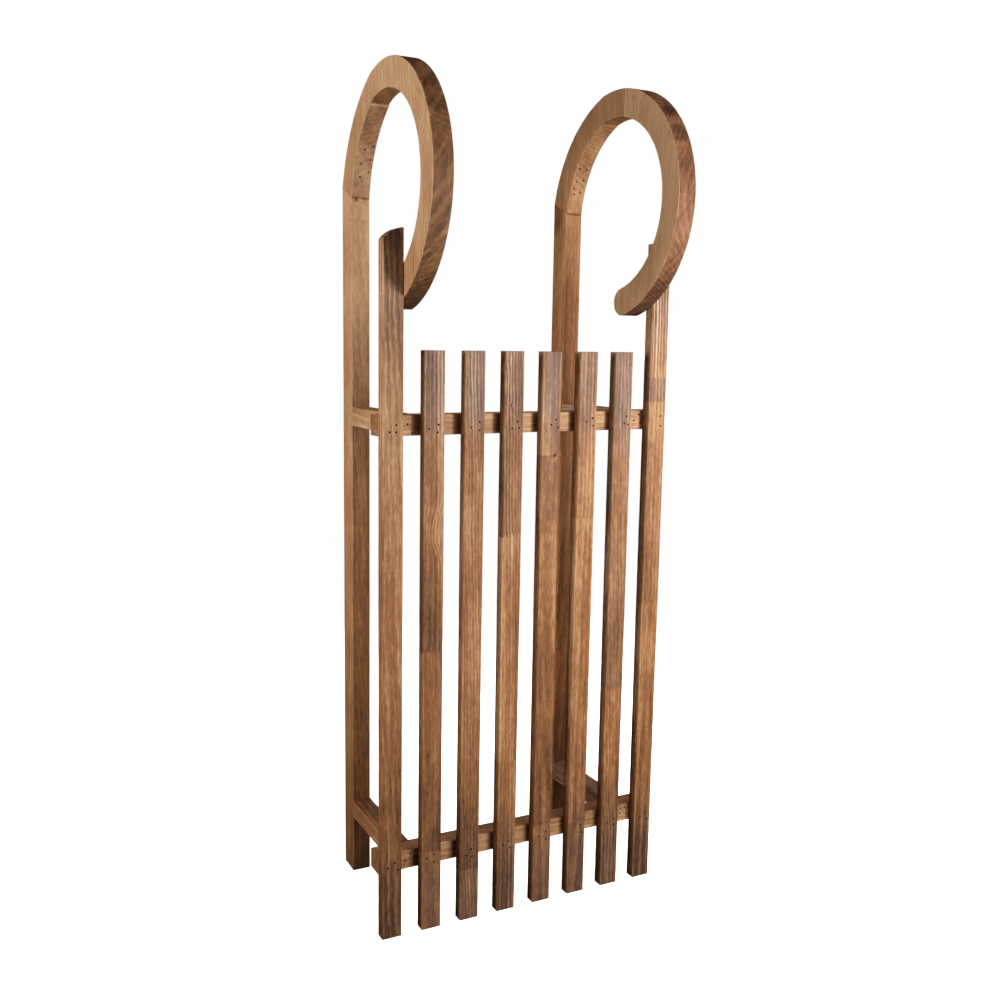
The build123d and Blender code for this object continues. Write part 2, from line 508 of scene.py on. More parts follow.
def wood_tone(stick, look):
    """All that makes the wood of a stick paler or darker, painted light and shade among it, as one number."""
    boards = look["boards"]
    height = stick.height
    heart = (stick.heart - trait(stick, boards, "heart")).ramp(-1.4, 1.4) * trait(stick, boards, "step")
    lines = stick.mauve * look["mauve_lines"] + trait(stick, boards, "lines")
    shade_depth, shade_from, shade_to = look["front_shade"]
    patch = height.ramp(look["patch_top"] + patch_blur, look["patch_top"] - patch_blur)
    foot = height.ramp(look["mauve_foot"][1], 0.0) * (stick.mottle.ramp(0.30, 0.70) * 0.6 + 0.4)
    tone = trait(stick, boards, "tone") + stick.figure + (stick.within - 0.5) * 0.06 + heart
    # painted light: lighter with height above the middle, darker below it
    tone = tone + (height - middle_height) * painted_light_slope + (stick.late - 0.3) * lines
    tone = tone - stick.high * stick.inner * look["dusk"] - foot * look["foot"]
    # painted shadow: a thin dark line on front faces just under the ledge
    tone = tone - (height - look["ledge_shadow"]).size().ramp(2.2, 0.6) * stick.front * 0.22
    # painted shade: front faces grow darker between two heights
    tone = tone - height.ramp(shade_from, shade_to) * stick.front * shade_depth
    # painted shade on the faces that look up; the flanks are darker by a trait of their own
    tone = tone - stick.upper * look["top_shade"] - stick.flank * look["flank"]
    tone = tone - patch * trait(stick, boards, "patch") - stick.mauve * 0.18
    return tone - stick.end * look["end"] - stick.glue * 0.04 - stick.core


print("tone rises with height by", painted_light_slope, "a mm")

# %% The finished material
def stained_wood(name, middle, grain, look, horn_centre=None):
    """A material cut from its own log: middle is the stick's centre, grain the axis of its fibres."""
    seed = look["seed"]
    material, shader, source = new_material(name)
    stick = cut_from_log(material.node_tree, source, middle, grain, look["tilt"])
    add_joints(stick, look["boards"])
    add_rings(stick, look, seed)
    add_figure(stick, look, seed)
    add_mauve(stick, look)
    tone = wood_tone(stick, look)
    relief = stick.fibre * 0.5 + stick.late * 0.25 + stick.dash * 0.5
    if horn_centre is not None:
        saw_tone, saw_relief = saw_marks(stick, look, seed, horn_centre)
        tone = tone + saw_tone
        relief = relief + saw_relief
    worn = stick.place.node("ShaderNodeAttribute", {"attribute_name": "worn"}, {}, "Fac")
    rubbed = worn * stick.log.noise((0.10, 0.10, 0.05), (seed, 2.0, 8.0), 3.0).ramp(0.35, 0.65)
    tone = tone + rubbed * 0.12
    brown = tone.node("ShaderNodeValToRGB", {"stops": stain_stops}, {0: tone})
    grey = tone.node("ShaderNodeValToRGB", {"stops": mauve_stops}, {0: tone})
    stain = stick.mauve.blend(brown, grey)
    if look["warm"] > 0.0:
        tint = {0: look["warm"], 6: stain, 7: warm_tint}
        stain = stain.node("ShaderNodeMix", {"data_type": "RGBA", "blend_type": "MULTIPLY"}, tint, 2)
    rough = 0.60 - stick.late * 0.08 + (stick.fibre - 0.5) * 0.20 + stick.end * 0.10 - rubbed * 0.06
    bump = relief.node("ShaderNodeBump", {}, {"Strength": 0.55, "Distance": 0.00035, "Height": relief})
    stain.feed(shader, "Base Color")
    rough.feed(shader, "Roughness")
    bump.feed(shader, "Normal")
    shader.inputs["Specular IOR Level"].default_value = 0.18
    return material


print("stained wood ready")

# %% [markdown]
# ## Nail holes
#
# Every stick is held by brads driven below the surface, so the photograph shows small black holes. Dark
# dots in the shader would be quick, but flat from the side. A Boolean modifier cuts each hole with a
# slightly tapered cone and hands the cone's dark material to the cut, so a hole is real geometry with a
# nail head at its bottom.

# %% The dark of a nail hole
nail_dark, nail_shader, nail_source = new_material("nail_hole")
nail_place = Channel(nail_dark.node_tree, nail_source.outputs["Object"])
nail_rust = nail_place.noise((900.0, 900.0, 900.0), (0.0, 0.0, 0.0), 3.0).ramp(0.35, 0.7)
nail_colour = nail_rust.blend((0.005, 0.0025, 0.0012, 1.0), (0.026, 0.011, 0.005, 1.0))
nail_colour.feed(nail_shader, "Base Color")
nail_shader.inputs["Roughness"].default_value = 0.8
nail_shader.inputs["Specular IOR Level"].default_value = 0.04
nail_radius = 1.30 * mm
nail_depth = 2.2 * mm
nail_mouth = 1.12
nail_bottom = 0.8


def mesh_from(form, name, material):
    """Turns a bmesh into a mesh with one material."""
    mesh = bpy.data.meshes.new(name)
    form.to_mesh(mesh)
    form.free()
    mesh.materials.append(material)
    return mesh


def nail_cutter(nails):
    """One mesh of tapered cones, each at a point on the surface and pointing into the wood."""
    form = bmesh.new()
    for spot, inward in nails:
        turn = Vector(inward).to_track_quat("Z", "Y").to_matrix().to_4x4()
        bmesh.ops.create_cone(
            form,
            cap_ends=True,
            segments=12,
            radius1=nail_radius * nail_mouth,
            radius2=nail_radius * nail_bottom,
            depth=2 * nail_depth,
            matrix=Matrix.Translation(spot) @ turn,
        )
    return add_object("nail_cutter", mesh_from(form, "nail_cutter", nail_dark))


print("nail holes:", round(2 * nail_radius / mm, 1), "mm wide")

# %% [markdown]
# ## From a bmesh to a finished stick
#
# Edges of sawn battens are never sharp. A Bevel modifier could ease them, but it can't say which points
# it made. The bevel operator can, and a float attribute named worn remembers which points lie on the
# rounding, so the shader can rub the stain off there. A little noise then presses the surface inwards,
# more on the edges than on the faces. Weighted normals keep the flat faces flat in spite of the soft
# edges.

# %% Ease and weather
def ease(form, edges, radius, segments):
    """Rounds edges and marks the points in the middle of the rounding as worn."""
    worn = form.verts.layers.float.get("worn") or form.verts.layers.float.new("worn")
    made = bmesh.ops.bevel(
        form,
        geom=edges,
        offset=radius,
        offset_type="OFFSET",
        affect="EDGES",
        segments=segments,
        profile=0.5,
        material=-1,
        clamp_overlap=True,
    )
    rounding = set(made["faces"])
    for vert in made["verts"]:
        if all(face in rounding for face in vert.link_faces):
            vert[worn] = 1.0


dent_scale = 90.0
chip_scale = 210.0
chip_least = 0.1


def weather(form, seed, face_depth, edge_depth):
    """Presses the surface inwards by a seeded noise, so that no edge is ruler straight."""
    worn = form.verts.layers.float.get("worn")
    form.normal_update()
    for vert in form.verts:
        dent = 0.5 + 0.5 * noise.noise(vert.co * dent_scale + Vector((seed * 7.0, seed, 0.0)))
        chip = noise.noise(vert.co * chip_scale + Vector((0.0, seed * 5.0, seed)))
        chip = max(0.0, chip - chip_least)
        depth = face_depth * dent + edge_depth * vert[worn] * (0.3 * dent + chip)
        vert.co -= vert.normal * depth


print("dents about", round(1000 / dent_scale, 1), "mm wide")

# %% Finish a piece
weld_distance = 0.00001
flat_weight = 90


def finish_stick(name, form, material, nails):
    """Turns a bmesh into the piece that stands for the CAD node of the same name."""
    bmesh.ops.remove_doubles(form, verts=form.verts[:], dist=weld_distance)
    bmesh.ops.recalc_face_normals(form, faces=form.faces[:])
    for face in form.faces:
        face.smooth = True
    mesh = mesh_from(form, name + "_wood", material)
    piece = add_object(name + "_wood", mesh)
    cutter = None
    if nails:
        cutter = nail_cutter(nails)
        drill = piece.modifiers.new("nail_holes", "BOOLEAN")
        drill.object = cutter
        drill.operation = "DIFFERENCE"
        drill.solver = "EXACT"
        drill.material_mode = "TRANSFER"
    flats = piece.modifiers.new("flat_faces", "WEIGHTED_NORMAL")
    flats.weight = flat_weight
    bpy.context.view_layer.update()
    shown = piece.evaluated_get(bpy.context.evaluated_depsgraph_get())
    finished = bpy.data.meshes.new_from_object(shown)
    piece.modifiers.clear()
    piece.data = finished
    finished.name = name + "_wood"
    bpy.data.meshes.remove(mesh)
    if cutter is not None:
        bpy.data.objects.remove(cutter)
    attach(piece, "root")
    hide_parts(name)


def dress(name, form, grain, look, dents, nails, horn_centre=None):
    """Weathers a form, gives it a wood of its own and finishes it."""
    low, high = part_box(name)
    wood = stained_wood(name + "_stain", (low + high) / 2, grain, look, horn_centre)
    weather(form, look["seed"], *dents)
    finish_stick(name, form, wood, nails)


print("points closer than", weld_distance / mm, "mm are merged")

# %% [markdown]
# ## Straight sticks
#
# Slats, crossbars and struts are plain battens. The CAD node could stay, but its edges are ruler straight
# and it has no points between its ends. So a cube is scaled to the CAD box, cut into short lengths for
# the weathering to move, and eased along its four long edges and more lightly round its ends.

# %% A batten between two corners
def batten(low, high, pitch):
    """A box with rings of points along its longest side, and the number of that side's axis."""
    size = high - low
    axis = max(range(3), key=lambda number: size[number])
    form = bmesh.new()
    place = Matrix.Translation((low + high) / 2) @ Matrix.Diagonal((*size, 1.0))
    bmesh.ops.create_cube(form, size=1.0, matrix=place)
    lengthwise = [edge for edge in form.edges if runs_along(edge, axis)]
    bmesh.ops.subdivide_edges(form, edges=lengthwise, cuts=int(size[axis] / pitch), use_grid_fill=True)
    return form, axis


def runs_along(edge, axis):
    """True where an edge lies in the direction of an axis."""
    span = edge.verts[1].co - edge.verts[0].co
    return abs(span[axis]) > 0.9 * span.length


def ease_batten(form, axis, radius, end_radius):
    """Rounds the four long edges, then the rims of the two ends."""
    long_edges = [edge for edge in form.edges if runs_along(edge, axis) and edge.calc_face_angle() > 0.5]
    ease(form, long_edges, radius, 3)
    form.normal_update()
    rims = [edge for edge in form.edges if is_rim(edge, axis)]
    ease(form, rims, end_radius, 2)


def is_rim(edge, axis):
    """True where an edge lies between an end face and a long face."""
    shares = sorted(abs(face.normal[axis]) for face in edge.link_faces)
    return shares[0] < 0.3 and shares[1] > 0.5


stick_pitch = 6.0 * mm
print("batten rings every", stick_pitch / mm, "mm")

# %% Nails of the slats and rails
nail_spots = {
    # bar: holes at the upper and at the lower crossbar, as millimetres right of and above the crossing
    "rail_left": [[(3.9, 1.7), (-4.0, -6.0), (3.6, -6.2)], [(3.5, 6.7), (-4.9, 1.3), (7.0, -3.0)]],
    "slat_1": [[(4.5, 1.1), (-7.4, -3.5), (3.5, -7.4)], [(3.2, 6.6), (-6.0, 3.1), (3.0, -3.2)]],
    "slat_2": [[(5.4, 2.9), (-5.2, -3.3), (5.6, -6.5)], [(1.9, 2.9), (-5.0, -4.0), (2.9, -6.8)]],
    "slat_3": [[(4.7, 2.4), (-2.6, -5.3), (6.2, -5.0)], [(2.0, 2.8), (-4.6, -0.9), (4.9, -6.0)]],
    "slat_4": [[(6.0, 3.6), (-0.4, -1.9), (8.6, -5.9)], [(4.7, 4.3), (-5.2, 0.0), (5.6, -5.7)]],
    "slat_5": [[(6.4, 4.2), (-2.0, 0.2), (7.4, -4.5)], [(4.9, 3.5), (-3.3, 6.3), (7.0, -7.0)]],
    "slat_6": [[(5.4, 5.6), (2.0, -2.8), (7.6, -4.3)], [(5.0, 1.7), (-4.6, -1.9), (6.0, -6.5)]],
    "rail_right": [[(5.6, 5.2), (6.4, -7.0)], [(3.4, 1.2), (-3.6, -3.4), (7.6, -8.0)]],
}
crossings = [sum(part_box(bar_name), Vector()).z / 2 for bar_name in ("crossbar_upper", "crossbar_lower")]


def bar_nails(name):
    """The holes on the front of one bar, as points and directions."""
    low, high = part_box(name)
    holes = []
    for crossing, steps in zip(crossings, nail_spots[name]):
        for step_right, step_up in steps:
            spot = Vector(((low.x + high.x) / 2 + step_right * mm, low.y, crossing + step_up * mm))
            holes.append((spot, (0.0, 1.0, 0.0)))
    return holes


print("crossings at", [round(crossing / mm, 1) for crossing in crossings], "mm")

# %% Looks of the slats
slat_looks = {
    "slat_1": {
        "seed": 11.3, "mauve_top": (0.95, 570.0, 625.0), "mauve_foot": (0.3, 170.0), "mauve_lines": 0.20,
        "pith": (8.0, 46.0),
        "knots": [((-118.0, -63.0, 478.0), 14.0, 0.0), ((-131.0, -63.0, 217.0), 2.2, 0.10)],
        "boards": [
            board(0.0, 0.64, heart=5.0, step=-0.05),
            board(95.0, 0.54, teeth=4.0, heart=2.0, step=-0.06),
            board(338.0, 0.53, lines=0.10, mauve=0.06, teeth=4.0, heart=8.0, step=0.08, patch=0.17),
        ],
    },
    "slat_2": {
        "seed": 23.9, "mauve_top": (0.95, 570.0, 625.0), "mauve_foot": (0.25, 170.0),
        "mauve_lines": 0.28, "pith": (60.0, 18.0),
        "boards": [
            board(0.0, 0.69, lines=0.05, mauve=0.25),
            board(64.0, 0.56, lines=0.09, mauve=0.04, heart=6.0, step=-0.04),
        ],
    },
    "slat_3": {
        "seed": 37.2, "mauve_top": (0.6, 580.0, 640.0), "mauve_foot": (0.45, 170.0), "mauve_lines": 0.36,
        "dusk": -0.07, "pith": (-48.0, 30.0),
        "knots": [((-29.0, -63.0, 621.0), 1.6, 0.16)],
        "boards": [
            board(0.0, 0.62),
            board(189.0, 0.64, teeth=4.0, heart=4.0, step=-0.12),
            board(466.0, 0.45, lines=0.16, mauve=0.14, teeth=6.0),
        ],
    },
    "slat_4": {
        "seed": 41.8, "mauve_foot": (0.4, 170.0), "mauve_lines": 0.08, "pith": (26.0, 70.0),
        "knots": [((30.0, -63.0, 561.0), 3.0, 0.34)],
        "boards": [
            board(0.0, 0.635),
            board(99.0, 0.48, teeth=4.0, heart=7.0, step=0.05),
            board(484.0, 0.475, lines=0.05, mauve=0.15, heart=9.0, step=0.10),
            board(561.0, 0.63, lines=0.06, heart=3.0, step=-0.10),
        ],
    },
    "slat_5": {
        "seed": 58.4, "mauve_top": (0.75, 530.0, 640.0), "mauve_lines": 0.12, "pith": (-30.0, 80.0),
        "boards": [
            board(0.0, 0.63),
            board(93.0, 0.63, teeth=4.0, heart=-7.0, step=-0.05),
            board(482.0, 0.54, lines=0.13, teeth=3.0),
        ],
    },
    "slat_6": {
        "seed": 63.7, "mauve_lines": 0.18, "pith": (52.0, 40.0),
        "boards": [board(0.0, 0.585), board(262.0, 0.555, lines=0.05, mauve=0.22, teeth=3.0)],
    },
}
print("boards of the slats:", sum(len(traits["boards"]) for traits in slat_looks.values()))

# %% Make the slats
bar_dents = (0.10 * mm, 0.55 * mm)
for slat_name, traits in slat_looks.items():
    look = {**plain_look, "mauve_top": (0.95, 530.0, 640.0), "mauve_foot": (0.55, 170.0), **traits}
    form, axis = batten(*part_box(slat_name), stick_pitch)
    ease_batten(form, axis, 1.3 * mm, 0.6 * mm)
    dress(slat_name, form, "z", look, bar_dents, bar_nails(slat_name))
print("slats:", len(slat_looks))

# %% [markdown]
# ## Rails
#
# The two outer bars are longer, and their tops are rounded down towards the outside. A bevelled corner
# would give a quarter circle, and the real top is a longer, flatter arc. One vertex spun round the arc's
# centre draws the rounded top, two corners close the outline, and the outline is filled and extruded.
# Cuts across the length give the weathering its points.

# %% An outline with an arc in it
def arc_through(first, middle, last):
    """Centre, turn and axis of the arc that runs through three points."""
    chord_a = middle - first
    chord_b = last - first
    plane = chord_a.cross(chord_b)
    reach = plane.cross(chord_a) * chord_b.length_squared + chord_b.cross(plane) * chord_a.length_squared
    centre = first + reach / (2 * plane.length_squared)
    turn = (first - centre).angle(middle - centre) + (middle - centre).angle(last - centre)
    return centre, turn, plane.normalized()


def draw_arc(form, start, middle, last, steps):
    """Spins one vertex through two more points and returns the new edges."""
    centre, turn, axis = arc_through(start.co.copy(), middle, last)
    before = set(form.edges)
    bmesh.ops.spin(form, geom=[start], cent=centre, axis=axis, angle=turn, steps=steps, use_duplicate=False)
    return [edge for edge in form.edges if edge not in before]


def chain_end(edges, start):
    """The vertex at the other end of a chain of edges."""
    ends = [vert for edge in edges for vert in edge.verts if len(vert.link_edges) == 1]
    return next(vert for vert in ends if vert is not start)


def extrude(form, faces, step):
    """Gives a flat outline its thickness."""
    grown = bmesh.ops.extrude_face_region(form, geom=faces)["geom"]
    moved = [part for part in grown if isinstance(part, bmesh.types.BMVert)]
    bmesh.ops.translate(form, vec=step, verts=moved)
    bmesh.ops.recalc_face_normals(form, faces=form.faces[:])


def cut_rings(form, axis, low, high, pitch):
    """Cuts a stick across every few millimetres, without taking anything away."""
    direction = Vector((axis == 0, axis == 1, axis == 2))
    for step in range(1, int((high - low) / pitch)):
        everything = form.verts[:] + form.edges[:] + form.faces[:]
        spot = direction * (low + step * pitch)
        bmesh.ops.bisect_plane(form, geom=everything, plane_co=spot, plane_no=direction)


print("outline helpers ready")

# %% The form of a rail
rail_shoulder = 0.36
rail_shoulder_rise = 0.62
rail_side_height = 800.0 * mm
rail_arc_steps = 14


def rail_form(low, high, outward):
    """A long bar whose top falls off towards the outside in one arc."""
    outside = high.x if outward > 0 else low.x
    inside = low.x if outward > 0 else high.x
    rise = high.z - rail_side_height
    shoulder = outside + (inside - outside) * rail_shoulder
    form = bmesh.new()
    start = form.verts.new((outside, low.y, rail_side_height))
    middle = Vector((shoulder, low.y, rail_side_height + rise * rail_shoulder_rise))
    top = draw_arc(form, start, middle, Vector((inside, low.y, high.z)), rail_arc_steps)
    last = chain_end(top, start)
    foot_inside = form.verts.new((inside, low.y, low.z))
    foot_outside = form.verts.new((outside, low.y, low.z))
    sides = [(last, foot_inside), (foot_inside, foot_outside), (foot_outside, start)]
    outline = top + [form.edges.new(pair) for pair in sides]
    face = bmesh.ops.contextual_create(form, geom=outline)["faces"]
    extrude(form, face, Vector((0.0, high.y - low.y, 0.0)))
    cut_rings(form, 2, low.z, rail_side_height, stick_pitch)
    return form


print("rail sides end at", rail_side_height / mm, "mm")

# %% Looks of the rails
rail_looks = {
    "rail_left": {
        "seed": 71.5, "mauve_top": (0.6, 640.0, 750.0), "mauve_foot": (0.35, 150.0), "mauve_lines": 0.40,
        "dusk": 0.09, "flank": 0.03, "foot": 0.13, "pith": (40.0, 55.0), "tilt": (1.5, 0.1), "ring": 4.2,
        "boards": [
            board(0.0, 0.45, heart=-10.5, step=0.13),
            board(436.0, 0.50, lines=0.12, heart=-10.5, step=0.08),
        ],
    },
    "rail_right": {
        "seed": 86.1, "mauve_foot": (0.45, 150.0), "foot": 0.0, "pith": (-36.0, 60.0), "ring": 4.2,
        "boards": [
            board(0.0, 0.58),
            board(365.0, 0.54, lines=0.05, mauve=0.10, teeth=5.0),
            board(622.0, 0.50, lines=0.04, mauve=0.50, teeth=2.0),
            board(651.0, 0.55, lines=0.22, teeth=2.0),
        ],
    },
}
print("boards of the rails:", sum(len(traits["boards"]) for traits in rail_looks.values()))

# %% Make the rails
horn_nail_heights = [758.6 * mm, 746.6 * mm]
horn_nail_depth = 4.2 * mm
for rail_name, traits in rail_looks.items():
    low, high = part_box(rail_name)
    outward = 1 if high.x > 0 else -1
    outside = high.x if outward > 0 else low.x
    look = {**plain_look, "mauve_top": (0.85, 630.0, 740.0), "mauve_foot": (0.55, 150.0), **traits}
    form = rail_form(low, high, outward)
    ease_batten(form, 2, 1.2 * mm, 0.6 * mm)
    holes = bar_nails(rail_name)
    for height in horn_nail_heights:
        holes.append((Vector((outside, low.y + horn_nail_depth, height)), (-outward, 0.0, 0.0)))
    dress(rail_name, form, "z", look, bar_dents, holes)
print("rails:", list(rail_looks))

# %% [markdown]
# ## Crossbars and struts
#
# Two square bars lie behind the slats, and four short ones hold them off the runners. Turned copies of
# one batten would repeat its grain, so each is a batten of its own, with the grain along its own length.
# Nails from the front of the crossbars hold the struts.

# %% Looks of the crossbars and struts
frame_looks = {
    "crossbar_upper": {"seed": 12.6, "pith": (50.0, 30.0), "boards": [board(0.0, 0.63)]},
    "crossbar_lower": {
        # painted shade on the upper faces of this bar
        "seed": 27.4, "pith": (-40.0, 34.0), "top_shade": 0.24,
        "boards": [board(0.0, 0.80)],
    },
    "strut_upper_left": {"seed": 33.8, "pith": (34.0, 22.0), "boards": [board(0.0, 0.60)]},
    "strut_upper_right": {"seed": 45.1, "pith": (20.0, 46.0), "boards": [board(0.0, 0.55, mauve=0.3)]},
    "strut_lower_left": {
        # painted shade on the upper faces of this strut
        "seed": 52.9, "pith": (-28.0, 40.0), "top_shade": 0.17,
        "knots": [((-163.0, 30.0, 88.0), 3.0, 0.24)],
        "boards": [board(0.0, 0.57)],
    },
    "strut_lower_right": {"seed": 67.3, "pith": (44.0, -20.0), "boards": [board(0.0, 0.52, mauve=0.3)]},
}
strut_nails = {
    # crossbar: holes as millimetres right of the middle and above the floor
    "crossbar_upper": [(-152.3, 601.0), (-146.5, 591.6), (158.0, 606.3), (151.2, 599.2), (160.2, 596.3)],
    "crossbar_lower": [
        (-153.0, 84.8), (-146.8, 92.6), (157.0, 92.2), (149.6, 85.8), (150.6, 92.0), (159.2, 83.0),
    ],
}
print("nails in the crossbars:", sum(len(spots) for spots in strut_nails.values()))

# %% Make the crossbars and struts
frame_dents = (0.08 * mm, 0.45 * mm)
for stick_name, traits in frame_looks.items():
    low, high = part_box(stick_name)
    grain = "x" if stick_name.startswith("crossbar") else "y"
    look = {**plain_look, "foot": 0.0, **traits}
    form, axis = batten(low, high, stick_pitch)
    ease_batten(form, axis, 0.9 * mm, 0.5 * mm)
    spots = strut_nails.get(stick_name, [])
    holes = [(Vector((spot_x * mm, low.y, spot_z * mm)), (0.0, 1.0, 0.0)) for spot_x, spot_z in spots]
    dress(stick_name, form, grain, look, frame_dents, holes)
print("crossbars and struts:", len(frame_looks))

# %% [markdown]
# ## Runners
#
# A runner is a straight bar that ends in a sloping splice, where the first stave of the horn is glued on.
# A cut through a longer bar would do it. Pulling up the top back edge of a batten does the same and keeps
# its rings of points whole.

# %% Runners with a sloping splice
runner_looks = {
    "runner_left": {
        # painted shade down the front, from 720 mm to 560 mm
        "seed": 74.2, "pith": (30.0, 64.0), "front_shade": (0.10, 720.0, 560.0),
        "knots": [((-157.0, 105.0, 862.0), 3.5, 0.28), ((-147.0, 105.0, 863.0), 3.0, 0.24)],
        "boards": [board(0.0, 0.56, lines=0.05), board(838.0, 0.57, lines=0.05)],
    },
    "runner_right": {
        # painted shade down the front, from 860 mm to 700 mm
        "seed": 83.5, "pith": (-24.0, 70.0), "front_shade": (0.10, 860.0, 700.0), "warm": 0.6,
        "knots": [((139.5, 136.0, 862.0), 29.0, 0.26), ((160.7, 105.0, 751.6), 2.0, 0.20)],
        "boards": [board(0.0, 0.46, lines=0.05), board(846.0, 0.48, lines=0.05)],
    },
}
splice_front = min(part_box("horn_heel_left")[0].z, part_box("horn_heel_right")[0].z)
runner_dents = (0.08 * mm, 0.50 * mm)
splice_reach = 0.1 * mm
for runner_name, traits in runner_looks.items():
    low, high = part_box(runner_name)
    # the painted shadow line lies 1 mm under the front of the splice
    look = {**plain_look, "figure": 0.75, "ring": 2.6, "ledge_shadow": splice_front / mm - 1.0, **traits}
    form, axis = batten(low, Vector((high.x, high.y, splice_front)), stick_pitch)
    for vert in form.verts:
        if vert.co.z > splice_front - splice_reach and vert.co.y > high.y - splice_reach:
            vert.co.z = high.z
    ease_batten(form, axis, 1.0 * mm, 0.4 * mm)
    dress(runner_name, form, "z", look, runner_dents, [])

# %% [markdown]
# ## Horns
#
# Each horn is glued up from three straight-grained boards that are band-sawn to the curl: the heel above
# the runner, a short crown and the long nose with its rounded tip. A bar swept along a curve would be one
# bent stick, with no seams and with grain that follows the curl. So the side view of each board is a
# strip between two arcs. Each arc is one spun vertex, bridge_loops fills the strip between them, and an
# extrusion gives the thickness. On the left the crown was sawn a little thin, so the heel stands proud of
# it inside the curl.

# %% Sizes of the horns and a strip between two arcs
horn_radius = -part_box("horn_nose_left")[0].y
horn_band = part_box("runner_left")[1].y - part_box("runner_left")[0].y
horn_inner = horn_radius - horn_band
horn_middle = horn_radius - horn_band / 2
horn_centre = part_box("horn_crown_left")[1].z - horn_radius
front_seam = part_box("horn_crown_left")[0].y
heel_flat = 4.0 * mm
tip_turn = math.radians(256.0)


def ring_spot(x, radius, turn):
    """A point of a horn circle, its turn counted from the back up over the crown."""
    return Vector((x, radius * math.cos(turn), horn_centre + radius * math.sin(turn)))


def strip_between(form, outer, inner, steps):
    """A flat strip between two arcs, each given by three points, and the two last vertices."""
    chains = []
    ends = []
    for first, middle, last in (outer, inner):
        start = form.verts.new(first)
        chain = draw_arc(form, start, middle, last, steps)
        chains += chain
        ends.append(chain_end(chain, start))
    bmesh.ops.bridge_loops(form, edges=chains)
    return ends


print("horn radius", round(horn_radius / mm, 1), "band", round(horn_band / mm, 1), "mm")

# %% Heel and crown
heel_steps = 34
crown_steps = 18
crown_top = math.radians(90)


def heel_form(x, seam, splice_back):
    """The side view of a heel, from the splice on the runner to the back seam."""
    outer_end = math.acos(seam / horn_radius)
    inner_end = math.acos(seam / horn_inner)
    outer_start = math.atan2(splice_back - horn_centre, horn_radius)
    inner_start = math.atan2(splice_front - horn_centre, horn_inner)
    form = bmesh.new()
    outer = (
        Vector((x, horn_radius, splice_back)),
        ring_spot(x, horn_radius - heel_flat, (outer_start + outer_end) / 2),
        ring_spot(x, horn_radius, outer_end),
    )
    inner = (
        Vector((x, horn_inner, splice_front)),
        ring_spot(x, horn_inner - heel_flat, (inner_start + inner_end) / 2),
        ring_spot(x, horn_inner, inner_end),
    )
    strip_between(form, outer, inner, heel_steps)
    return form


def crown_form(x, seam, thinned):
    """The side view of a crown between its two seams, sawn a little thin inside the curl."""
    form = bmesh.new()
    outer = (
        ring_spot(x, horn_radius, math.acos(seam / horn_radius)),
        ring_spot(x, horn_radius, crown_top),
        ring_spot(x, horn_radius, math.acos(front_seam / horn_radius)),
    )
    inner = (
        ring_spot(x, horn_inner + thinned, math.acos(seam / (horn_inner + thinned))),
        ring_spot(x, horn_inner + thinned * 0.5, crown_top),
        ring_spot(x, horn_inner, math.acos(front_seam / horn_inner)),
    )
    strip_between(form, outer, inner, crown_steps)
    return form


print("staves in steps:", heel_steps, crown_steps)

# %% Nose with its rounded tip
nose_steps = 92
tip_steps = 20
nose_front = math.radians(180)


def nose_form(x):
    """The side view of a nose, from the front seam to its rounded tip."""
    form = bmesh.new()
    outer = (
        ring_spot(x, horn_radius, math.acos(front_seam / horn_radius)),
        ring_spot(x, horn_radius, nose_front),
        ring_spot(x, horn_radius, tip_turn),
    )
    inner = (
        ring_spot(x, horn_inner, math.acos(front_seam / horn_inner)),
        ring_spot(x, horn_inner, nose_front),
        ring_spot(x, horn_inner, tip_turn),
    )
    outer_last, inner_last = strip_between(form, outer, inner, nose_steps)
    ahead = Vector((0.0, -math.sin(tip_turn), math.cos(tip_turn)))
    tip = ring_spot(x, horn_middle, tip_turn) + ahead * horn_band / 2
    draw_arc(form, outer_last, tip, inner_last.co.copy(), tip_steps)
    bmesh.ops.remove_doubles(form, verts=form.verts[:], dist=weld_distance)
    rim = [edge for edge in form.edges if edge.is_wire or (edge.is_boundary and is_tip_cut(edge))]
    bmesh.ops.contextual_create(form, geom=rim)
    return form


def is_tip_cut(edge):
    """True for the straight edge where the strip of a nose meets its rounded tip."""
    ahead = Vector((0.0, -math.sin(tip_turn), math.cos(tip_turn)))
    middle = ring_spot(edge.verts[0].co.x, horn_middle, tip_turn)
    return all(abs((vert.co - middle).dot(ahead)) < weld_distance for vert in edge.verts)


print("nose in", nose_steps, "steps, tip in", tip_steps)

# %% Ease the staves
sharp_angle = 0.9
plane_reach = 0.00002


def ease_stave(form, radius, end_radius, end_planes):
    """Rounds the long curved edges of a stave, then the rims of its glued ends."""
    form.normal_update()
    glued = set(face for face in form.faces if on_plane(face, end_planes))
    sharp = [edge for edge in form.edges if edge.calc_face_angle() > sharp_angle]
    curved = [edge for edge in sharp if not glued & set(edge.link_faces)]
    ease(form, curved, radius, 3)
    form.normal_update()
    glued = set(face for face in form.faces if on_plane(face, end_planes))
    rims = [edge for edge in form.edges if len(glued & set(edge.link_faces)) == 1]
    ease(form, rims, end_radius, 2)


def on_plane(face, planes):
    """True where all points of a face lie on one of the planes."""
    for spot, direction in planes:
        if all(abs((vert.co - spot).dot(direction)) < plane_reach for vert in face.verts):
            return True
    return False


print("edges sharper than", round(math.degrees(sharp_angle)), "degrees are eased")

